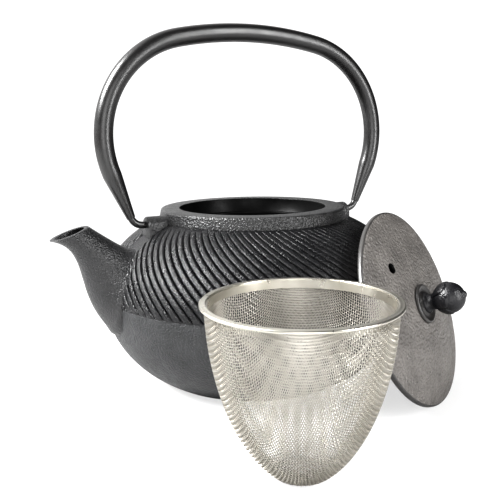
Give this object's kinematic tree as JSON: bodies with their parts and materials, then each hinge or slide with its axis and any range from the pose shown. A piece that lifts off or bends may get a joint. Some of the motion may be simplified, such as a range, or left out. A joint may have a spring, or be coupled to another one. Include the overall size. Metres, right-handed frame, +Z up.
{
  "type": "cast-iron teapot with infuser basket",
  "caption": "Low round cast-iron teapot with a ridged shoulder, a beak spout, a swinging bail handle, a domed lid with a bud knob and a lift-out woven-mesh infuser basket.",
  "frame": {"origin": "middle of the pot's foot, on the table it stands on", "axes": "+Z up; the spout points along -X; the handle turns about a line along X; the basket stands in front, towards -Y, and the lid leans at the front right"},
  "size_m": [0.189, 0.219, 0.1754],
  "materials": {
    "pot_iron": "satin black cast skin",
    "black_enamel": "glossy black vitreous enamel",
    "handle_steel": "smooth satin black",
    "lid_iron": "leathery grey-brown cast skin",
    "knob_iron": "dark satin",
    "plain_steel": "plain zinc grey",
    "polished_steel": "polished stainless sheet",
    "woven_steel": "bright stainless wire mesh"
  },
  "bodies": {
    "pot": {"pot_body": "pot_iron", "enamel_lining": "black_enamel"},
    "handle": {"handle_bow": "handle_steel", "handle_hook_left": "handle_steel", "handle_hook_right": "handle_steel"},
    "lid": {"lid_plate": "lid_iron", "knob_washer": "lid_iron", "lid_knob": "knob_iron", "knob_screw": "plain_steel", "screw_washer": "plain_steel"},
    "basket": {"basket_rim": "polished_steel", "basket_inner_band": "polished_steel", "mesh_basket": "woven_steel"}
  },
  "joints": [
    {"name": "handle_swing", "type": "hinge", "parent": "pot", "child": "handle", "pos_m": [0, 0, 0.0807], "axis": [1, 0, 0], "range_deg": [-90, 90]},
    {"name": "basket_lift", "type": "slide", "parent": "pot", "child": "basket", "axis": [0, 0, 1], "range_m": [0, 0.12]},
    {"name": "lid_lift", "type": "slide", "parent": "pot", "child": "lid", "axis": [0.4469, -0.8197, 0.3584], "range_m": [0, 0.09]}
  ]
}
